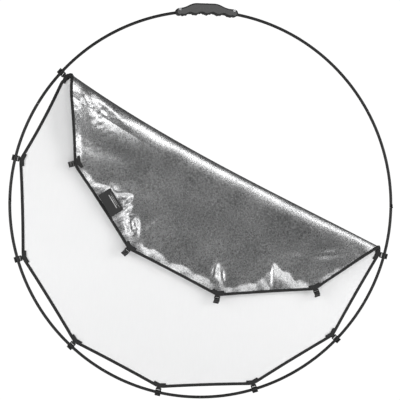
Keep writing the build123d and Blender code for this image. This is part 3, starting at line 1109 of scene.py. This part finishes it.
    def build(self) -> None:
        """Make the cloth and its tapes, hang the panel's and the flap's pieces on their bodies, and hide the
        frame's cloth and binding nodes.
        """
        lay = self.layout
        low, high = lay.panel_edge, lay.flap_edge
        corners = lay.corners
        panel_outline = [lay.left(low), *corners[: len(lay.panel_angles)], lay.right(low)]
        flap_outline = [lay.right(high), *corners[len(lay.panel_angles) :], lay.left(high)]
        overlap = self.tape_overlap
        right_roll = [lay.right(low - overlap), lay.right(high + overlap)]
        left_roll = [lay.left(high + overlap), lay.left(low - overlap)]
        panel = self.sheet("panel_cloth", -lay.corner_radius, low, self.panel_cell)
        strip = self.sheet("rolled_fold", low, high, self.strip_cell)
        flap = self.sheet("flap_cloth", high, lay.corner_radius, self.flap_cell)
        tapes = {}
        for name, outline in (
            ("panel_tape", panel_outline),
            ("flap_tape", flap_outline),
            ("roll_tape_right", right_roll),
            ("roll_tape_left", left_roll),
        ):
            tapes[name] = self.tape(name, outline)
        panel_stitch = self.stitches("panel_tape_stitches", panel_outline)
        flap_stitch = self.stitches("flap_tape_stitches", flap_outline)
        for piece in (panel, tapes["panel_tape"], panel_stitch):
            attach(piece, Side.PANEL.value)
        for piece in (flap, tapes["flap_tape"], flap_stitch):
            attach(piece, Side.FLAP.value)
        start = lay.point(0.0, lay.fold_start, lay.panel_y)
        end = lay.point(0.0, lay.fold_start, lay.flap_y)
        for piece in (strip, tapes["roll_tape_right"], tapes["roll_tape_left"]):
            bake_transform(piece)
        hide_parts("panel_fabric")
        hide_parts("flap_fabric")
        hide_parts("fold_strip")
        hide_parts("panel_binding")
        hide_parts("flap_binding")
        log.info("cloth, fold and tapes built")


# ------------------------------------------------------------------------------------------------
# Clips and corner tabs
# ------------------------------------------------------------------------------------------------


@dataclass
class Hook:
    """One corner: its sewn patch, its webbing loop and its clip, in a frame of its own.

    In that frame x points outwards from the ring's centre, y to the back and z along the tube, and
    the origin is on the tube's centreline.
    """

    layout: Layout
    number: int
    side: Side
    length: float = 12.0 * MM
    bore: float = 3.4 * MM
    wall: float = 1.6 * MM
    wrap_deg: float = 229.0
    flare: float = 2.7 * MM
    bar_at: float = -8.0 * MM
    bar_radius: float = 1.2 * MM
    arm_width: float = 1.8 * MM
    lip_shift: tuple[float, float] = (0.6 * MM, 0.2 * MM)
    lip_root: float = 1.4 * MM
    lip_thick: float = 1.5 * MM
    round_steps: int = 22
    edge_round: float = 0.35 * MM
    strap_half: float = 4.1 * MM
    strap_clear: float = 0.1 * MM
    strap_pinch: float = 0.8
    strap_puff: float = 1.5
    strap_thick: float = 0.7 * MM
    patch_half: float = 2.1 * MM
    patch_notch: float = -7.6
    patch_outline: tuple[tuple[float, float], ...] = ((-10.6, 12.4), (-4.6, 13.6), (0.2, 6.4), (0.9, 4.8))
    stitch_rows: tuple[tuple[float, float], ...] = ((-6.2, 10.5), (-3.6, 9.0), (-1.2, 5.0))
    stitch_pitch: float = 3.0
    stitch_slope: float = 0.26
    stitch_proud: float = 0.05 * MM

    def clip_name(self) -> str:
        """Name of the clip's node and body."""
        return f"{'ring' if self.side is Side.PANEL else 'flap'}_clip_{self.number}"

    def matrix(self) -> Matrix:
        """From the corner's own frame to its place at rest."""
        angles = self.layout.panel_angles if self.side is Side.PANEL else self.layout.flap_angles
        angle = angles[self.number - 1]
        out = Vector((math.cos(angle), 0.0, math.sin(angle)))
        back = Vector((0.0, 1.0, 0.0))
        tangent = out.cross(back)
        place = Matrix((out, back, tangent)).transposed().to_4x4()
        place.translation = self.layout.centre + out * self.layout.radius
        if self.side is Side.FLAP:
            place = self.layout.fold_matrix() @ place
        return place

    def clip(self) -> bpy.types.Object:
        """C-shaped clip with a flared thumb lip, two arms and a bar for its loop."""
        bm = bmesh.new()
        lip = math.radians((360.0 - self.wrap_deg) / 2)
        middle = self.bore + self.wall / 2
        start = Matrix.Rotation(lip, 4, "Z") @ Matrix.Translation((0.0, -middle, 0.0))
        flat = Matrix.Diagonal((1.0, self.wall, self.length, 1.0))
        upright = Matrix.Rotation(math.pi / 2, 4, "Y")
        side = bmesh.ops.create_grid(
            bm, x_segments=1, y_segments=1, size=0.5, matrix=start @ flat @ upright
        )
        face = side["verts"][0].link_faces[0]
        bmesh.ops.spin(
            bm,
            geom=[face, *face.edges, *face.verts],
            cent=(0.0, 0.0, 0.0),
            axis=(0.0, 0.0, 1.0),
            angle=math.tau - 2 * lip,
            steps=self.round_steps,
            use_duplicate=False,
        )
        bmesh.ops.recalc_face_normals(bm, faces=bm.faces[:])
        lip_y = -(self.bore + self.wall / 2) * math.cos(lip)
        out, back = self.lip_shift
        lip_centre = (self.bore + self.flare / 2 + out, lip_y + back, 0.0)
        boxes = [(lip_centre, (self.flare + self.lip_root, self.lip_thick, self.length))]
        arm_end = -self.bore - self.wall / 2
        panel_y = self.layout.panel_y
        for end in (-1.0, 1.0):
            centre = ((self.bar_at + arm_end) / 2, panel_y, end * (self.length - self.arm_width) / 2)
            boxes.append((centre, (arm_end - self.bar_at, 2 * self.bar_radius, self.arm_width)))
        for centre, size in boxes:
            place = Matrix.Translation(centre) @ Matrix.Diagonal((*size, 1.0))
            bmesh.ops.create_cube(bm, size=1.0, matrix=place)
        bmesh.ops.create_cone(
            bm,
            cap_ends=True,
            segments=16,
            radius1=self.bar_radius,
            radius2=self.bar_radius,
            depth=self.length,
            matrix=Matrix.Translation((self.bar_at, panel_y, 0.0)),
        )
        bevel_all(bm, self.edge_round, 2, 40.0)
        bmesh.ops.transform(bm, matrix=self.matrix(), verts=bm.verts[:])
        piece = finish_mesh(bm, f"{self.clip_name()}_moulded", (CLIP_PLASTIC,))
        sharpen(piece)
        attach(piece, self.clip_name())
        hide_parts(self.clip_name())
        return piece

    def patch(self) -> bpy.types.Object:
        """Sewn patch that wraps the corner of the cloth, front and back, with its stitching."""
        corner = -self.layout.corner_inset
        y = self.layout.panel_y
        bm = bmesh.new()
        outline = self.patch_outline
        ring = [(self.patch_notch, 0.0), *outline, *((x, -z) for x, z in reversed(outline))]
        verts = [bm.verts.new((corner + x * MM, y - self.patch_half, z * MM)) for x, z in ring]
        face = bm.faces.new(verts)
        thickened(bm, [face], Vector((0.0, 2 * self.patch_half, 0.0)))
        bmesh.ops.recalc_face_normals(bm, faces=bm.faces[:])
        bevel_all(bm, 1.0 * MM, 3, 30.0)
        for face in bm.faces:
            face.material_index = 0
        before = set(bm.faces)
        size = Matrix.Diagonal((0.5 * MM, 0.45 * MM, 2.0 * MM, 1.0))
        for depth in (y - self.patch_half - self.stitch_proud, y + self.patch_half + self.stitch_proud):
            for row, half in self.stitch_rows:
                count = int(2 * half / self.stitch_pitch)
                for number in range(count):
                    z = -half + 2 * half * (number + 0.5) / count
                    slope = self.stitch_slope * abs(z)
                    place = Matrix.Translation((corner + (row - slope) * MM, depth, z * MM))
                    bmesh.ops.create_icosphere(bm, subdivisions=1, radius=0.5, matrix=place @ size)
        for face in bm.faces:
            if face not in before:
                face.material_index = 1
        bmesh.ops.transform(bm, matrix=self.matrix(), verts=bm.verts[:])
        piece = finish_mesh(bm, f"{self.clip_name()}_patch", (WEBBING, THREAD))
        sharpen(piece, 50.0)
        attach(piece, self.side.value)
        return piece

    def loop(self) -> bpy.types.Object:
        """Webbing loop from the patch round the clip's bar and back."""
        corner = -self.layout.corner_inset
        y = self.layout.panel_y
        reach = self.bar_radius + self.strap_clear + self.strap_thick / 2
        sewn, bend = corner - 1.0 * MM, self.bar_at - 0.9 * MM
        path = [Vector((sewn, y - reach * self.strap_pinch, 0.0)), Vector((bend, y - reach, 0.0))]
        for step in range(9):
            turn = -math.pi / 2 + math.pi * step / 8
            out = reach * self.strap_puff * math.cos(turn)
            path.append(Vector((self.bar_at + out, y + reach * math.sin(turn), 0.0)))
        path += [Vector((bend, y + reach, 0.0)), Vector((sewn, y + reach * self.strap_pinch, 0.0))]
        bm = bmesh.new()
        width = Vector((0.0, 0.0, 1.0))
        strip = []
        for point in path:
            strip.append([bm.verts.new(point + width * side * self.strap_half) for side in (-1.0, 1.0)])
        for a, b in zip(strip, strip[1:]):
            bm.faces.new((a[0], a[1], b[1], b[0]))
        bmesh.ops.recalc_face_normals(bm, faces=bm.faces[:])
        bmesh.ops.solidify(bm, geom=bm.faces[:], thickness=self.strap_thick / 2)
        bmesh.ops.recalc_face_normals(bm, faces=bm.faces[:])
        bmesh.ops.transform(bm, matrix=self.matrix(), verts=bm.verts[:])
        piece = finish_mesh(bm, f"{self.clip_name()}_loop", (WEBBING,))
        sharpen(piece, 40.0)
        if self.side is Side.PANEL:
            place = self.matrix()
            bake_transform(piece)
        else:
            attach(piece, self.side.value)
        return piece

    def build(self) -> bpy.types.Object:
        """Make the clip, the patch and the loop, and return the patch."""
        self.clip()
        self.loop()
        return self.patch()


# ------------------------------------------------------------------------------------------------
# Label
# ------------------------------------------------------------------------------------------------


@dataclass
class Label:
    """Blank woven label on the flap's silver side, with two plain bars and a fine rule."""

    layout: Layout
    cloth: Cloth
    length: float = 53.0 * MM
    width: float = 30.0 * MM
    thick: float = 0.7 * MM
    clear: float = 0.9 * MM
    sink: float = 1.0 * MM
    curl: float = 1.8 * MM
    wave: float = 0.5 * MM
    bar_rows: tuple[tuple[float, float, float], ...] = (
        (0.16, 0.30, 1.5),
        (0.27, 0.22, 0.7),
        (0.35, 0.34, 0.35),
    )
    bar_sink: float = 0.1 * MM
    bar_thick: float = 0.3 * MM

    def place(self) -> tuple[Vector, Vector, Vector]:
        """Middle of the label at rest, its direction along the edge and its direction inwards."""
        low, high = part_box("woven_label")
        corners = self.layout.corners
        turn = self.layout.fold_matrix()
        a, b = (
            turn @ (self.layout.centre + self.layout.along * c.x + self.layout.across * c.y)
            for c in (corners[-1], corners[-2])
        )
        edge = (b - a).normalized()
        middle = (low + high) / 2
        inward = FRONT.cross(edge)
        if inward.dot(middle - (a + b) / 2) < 0:
            inward = -inward
        return middle, edge, inward

    def build(self) -> None:
        """Make the label, slightly curled, with its bars."""
        middle, edge, inward = self.place()
        bm = bmesh.new()
        bmesh.ops.create_grid(bm, x_segments=24, y_segments=14, size=0.5)
        turn = Matrix((edge, inward, FRONT)).transposed().to_4x4()
        turn.translation = middle
        bmesh.ops.recalc_face_normals(bm, faces=bm.faces[:])
        thickened(bm, bm.faces[:], Vector((0.0, 0.0, self.thick / self.width)))
        bmesh.ops.scale(bm, vec=(self.length, self.width, self.width), verts=bm.verts[:])
        bmesh.ops.recalc_face_normals(bm, faces=bm.faces[:])
        marks = set(bm.faces)
        self.bars(bm)
        for face in bm.faces:
            face.material_index = 0 if face in marks else 1
        lay = self.layout
        for vertex in bm.verts:
            lift = (vertex.co.y / self.width + 0.5) ** 2
            rise = vertex.co.z + lift * (self.curl + self.wave * math.sin(vertex.co.x / self.length * 5.0))
            place = turn @ vertex.co
            along = (place - lay.centre).dot(lay.along)
            across = lay.flap_edge + lay.fold_start - lay.flap_hem - (place - lay.centre).dot(lay.across)
            place.y = min(self.cloth.rest(along, across).y, middle.y + self.sink) - rise - self.clear
            vertex.co = place
        piece = finish_mesh(bm, "blank_woven_label", (LABEL_CLOTH, LABEL_THREAD))
        sharpen(piece, 40.0)
        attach(piece, Side.FLAP.value)
        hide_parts("woven_label")
        log.info("label built")

    def bars(self, bm: bmesh.types.BMesh) -> None:
        """Two plain bars and a fine rule woven into the label."""
        for across, half, tall in self.bar_rows:
            size = Matrix.Diagonal((2 * half * self.length, tall * MM, 1.0, 1.0))
            place = Matrix.Translation((0.0, across * self.width, self.thick - self.bar_sink))
            bar = bmesh.ops.create_grid(bm, x_segments=20, y_segments=1, size=0.5, matrix=place @ size)
            faces = list({face for vertex in bar["verts"] for face in vertex.link_faces})
            thickened(bm, faces, Vector((0.0, 0.0, self.bar_thick)))


# ------------------------------------------------------------------------------------------------
# Grip, ring and pins
# ------------------------------------------------------------------------------------------------


@dataclass
class Grip:
    """The hand grip's ribs and its faceted front plate; its shell, back plate and rivets are kept."""

    layout: Layout
    rib_pitch: float = 7.3 * MM
    rib_radius: float = 1.25 * MM
    rib_half: float = 8.0 * MM
    lobe_pitch: float = 24.1 * MM
    depth: float = 6.4 * MM
    lobe: float = 1.7 * MM
    half: float = 54.0 * MM
    ridge: float = 1.0 * MM

    def underside(self, x: float) -> float:
        """Height of the grip's underside at x."""
        tube = math.sqrt(self.layout.radius**2 - x * x) - self.layout.radius
        return tube - self.depth - self.lobe * math.cos(math.tau * x / self.lobe_pitch)

    def rib(self, bm: bmesh.types.BMesh, x: float, z: float, half: float) -> None:
        """One round rib across the grip."""
        place = Matrix.Translation((x, 0.0, z))
        flat = Matrix.Diagonal((self.rib_radius, half, self.rib_radius, 1.0))
        ball = bmesh.ops.create_uvsphere(bm, u_segments=12, v_segments=8, radius=1.0)
        for vertex in ball["verts"]:
            reach = abs(vertex.co.y)
            vertex.co.y = math.copysign(min(1.0, reach * 1.6) ** 0.5, vertex.co.y) if reach > 1e-6 else 0.0
        bmesh.ops.transform(bm, matrix=place @ flat, verts=ball["verts"])

    def ribs(self) -> None:
        """Ribs on the finger side and on the crown."""
        bm = bmesh.new()
        count = int(self.half / self.rib_pitch)
        for number in range(-count, count + 1):
            x = number * self.rib_pitch
            self.rib(bm, x, self.underside(x), self.rib_half)
        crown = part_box("hand_grip")[1].z
        for number in (-1, 0, 1):
            self.rib(bm, number * 10.0 * MM, crown - 0.55 * MM - abs(number) * 0.25 * MM, self.rib_half)
        piece = finish_mesh(bm, "grip_ribs", (RUBBER,))
        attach(piece, "upper_hoop")

    def front_plate(self) -> None:
        """Front plate folded along a shallow ridge in its middle."""
        source = frame["nodes"]["grip_front_insert"]
        bm = bmesh.new()
        bm.from_mesh(source.data)
        bmesh.ops.remove_doubles(bm, verts=bm.verts[:], dist=1e-5)
        bmesh.ops.bisect_plane(
            bm,
            geom=bm.verts[:] + bm.edges[:] + bm.faces[:],
            dist=1e-6,
            plane_co=(0, 0, 0),
            plane_no=(1, 0, 0),
        )
        front = min(v.co.y for v in bm.verts)
        half = max(v.co.x for v in bm.verts)
        for vertex in bm.verts:
            if vertex.co.y < front + 1e-5:
                vertex.co.y -= self.ridge * (1 - abs(vertex.co.x) / half)
        piece = finish_mesh(bm, "grip_front_plate", (INSERT_PLASTIC_PAINTED_LIGHT,), smooth=False)
        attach(piece, "upper_hoop")
        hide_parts("grip_front_insert")

    def build(self) -> None:
        """Make the ribs and the front plate."""
        self.ribs()
        self.front_plate()
        log.info("grip built")


def dress_kept_nodes() -> None:
    """Give every kept node of the frame its finish."""
    finishes = {
        "shock_cord": SHEATH,
        "cord_stops": STEEL,
        "ferrule": STEEL,
        "pin": STEEL,
        "rivet": STEEL,
        "tube": TUBE_COAT,
        "fold": TUBE_COAT,
        "hand_grip": RUBBER,
        "insert": INSERT_PLASTIC_PAINTED_LIGHT,
        "tabs": WEBBING,
        "clip": CLIP_PLASTIC,
        "label": LABEL_CLOTH,
        "binding": TAPE,
        "fabric": WHITE_CLOTH,
    }
    for name, node in frame["nodes"].items():
        finish = next(value for key, value in finishes.items() if key in name)
        node.data.materials.clear()
        node.data.materials.append(finish.material())
        log.info("%s dressed", name)


# ------------------------------------------------------------------------------------------------
# Studio
# ------------------------------------------------------------------------------------------------


@dataclass(frozen=True)
class Softbox:
    """A rectangular light: where it stands from the disc's centre, in metres, and how bright its face is."""

    name: str
    direction: tuple[float, float, float]
    distance: float
    size: tuple[float, float]
    radiance: float


SOFTBOXES = (
    Softbox("fold_softbox", (0.241, -0.866, 0.437), 2.5, (2.0, 0.5), 3.4),
    Softbox("low_softbox", (0.05, -0.88, -0.5), 2.5, (2.0, 0.45), 2.3),
    Softbox("side_softbox", (-0.47, -0.88, -0.08), 2.5, (0.62, 1.5), 2.9),
    Softbox("left_softbox", (-1.0, -0.45, 0.1), 2.2, (1.0, 2.4), 4.05),
    Softbox("right_softbox", (1.0, -0.5, 0.0), 2.2, (0.9, 2.4), 4.8),
    Softbox("back_softbox", (0.2, 1.0, -0.5), 2.4, (1.8, 1.8), 0.7),
)


@dataclass
class Studio:
    """Camera, lights, white surround and floor."""

    layout: Layout
    distance: float = 4.2
    view_width: float = 0.8432
    yaw_deg: float = -9.0
    roll_deg: float = 1.0
    aim: tuple[float, float] = (-7.0 * MM, 8.6 * MM)
    dark: float = 0.092
    sensor: float = 36.0
    white: float = 1.05
    floor_gap: float = 0.2
    floor_radius: float = 0.9

    def camera(self) -> None:
        """Long lens, square to the disc but for a small turn and roll."""
        data = bpy.data.cameras.new("studio_camera")
        data.sensor_width = self.sensor
        data.lens = data.sensor_width * self.distance / self.view_width
        camera = bpy.data.objects.new("studio_camera", data)
        yaw = math.radians(self.yaw_deg)
        aim = self.layout.centre + Vector((self.aim[0], 0.0, self.aim[1]))
        camera.location = aim + Vector((math.sin(yaw), -math.cos(yaw), 0.0)) * self.distance
        turn = (aim - camera.location).to_track_quat("-Z", "Y").to_matrix()
        turn = turn @ Matrix.Rotation(math.radians(self.roll_deg), 3, "Z")
        camera.rotation_euler = turn.to_euler()
        bpy.context.scene.collection.objects.link(camera)
        bpy.context.scene.camera = camera

    def world(self) -> None:
        """White where the camera looks past the disc, and dim for what the silver reflects."""
        world = bpy.data.worlds.new("white_surround")
        bpy.context.scene.world = world
        bpy.context.scene.view_settings.view_transform = "Standard"
        world.use_nodes = True
        tree = world.node_tree
        tree.nodes.clear()
        out = tree.nodes.new("ShaderNodeOutputWorld")
        mix = tree.nodes.new("ShaderNodeMixShader")
        path = tree.nodes.new("ShaderNodeLightPath")
        dim = tree.nodes.new("ShaderNodeBackground")
        white = tree.nodes.new("ShaderNodeBackground")
        dim.inputs["Color"].default_value = (self.dark, self.dark, self.dark, 1.0)
        white.inputs["Color"].default_value = (1.0, 1.0, 1.0, 1.0)
        white.inputs["Strength"].default_value = self.white
        tree.links.new(path.outputs["Is Camera Ray"], mix.inputs[0])
        tree.links.new(dim.outputs[0], mix.inputs[1])
        tree.links.new(white.outputs[0], mix.inputs[2])
        tree.links.new(mix.outputs[0], out.inputs[0])

    def light(self, softbox: Softbox) -> None:
        """Set up one softbox so that it faces the disc's centre."""
        wide, high = softbox.size
        data = bpy.data.lights.new(softbox.name, "AREA")
        data.shape = "RECTANGLE"
        data.size, data.size_y = wide, high
        data.energy = softbox.radiance * math.pi * wide * high
        light = bpy.data.objects.new(softbox.name, data)
        centre = self.layout.centre
        light.location = centre + Vector(softbox.direction).normalized() * softbox.distance
        light.rotation_euler = (centre - light.location).to_track_quat("-Z", "Y").to_euler()
        bpy.context.scene.collection.objects.link(light)

    def floor(self) -> None:
        """Pale floor below the disc, which is held well above it."""
        bm = bmesh.new()
        low = CAD_BOX[0][2] - self.floor_gap
        place = Matrix.Translation((0.0, 0.0, low))
        bmesh.ops.create_circle(bm, cap_ends=True, radius=self.floor_radius, segments=128, matrix=place)
        floor = finish_mesh(bm, "studio_floor", (FLOOR_PAINT,), smooth=False)

    def build(self) -> None:
        """Set the camera, the lights, the surround and the floor."""
        self.camera()
        self.world()
        for softbox in SOFTBOXES:
            self.light(softbox)
        self.floor()
        log.info("studio built")


def main() -> None:
    """Build the disc's looks and the studio, in order."""
    logging.basicConfig(level=logging.INFO, format="%(message)s")
    layout = Layout()
    Studio(layout).build()
    dress_kept_nodes()
    cloth = Cloth(layout)
    cloth.build()
    patches = {Side.PANEL: [], Side.FLAP: []}
    for side, angles in ((Side.PANEL, layout.panel_angles), (Side.FLAP, layout.flap_angles)):
        for number in range(1, len(angles) + 1):
            patches[side].append(Hook(layout, number, side).build())
            log.info("%s corner %d built", side.value, number)
    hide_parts("panel_tabs")
    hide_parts("flap_tabs")
    Label(layout, cloth).build()
    Grip(layout).build()


if __name__ == "__main__":
    main()
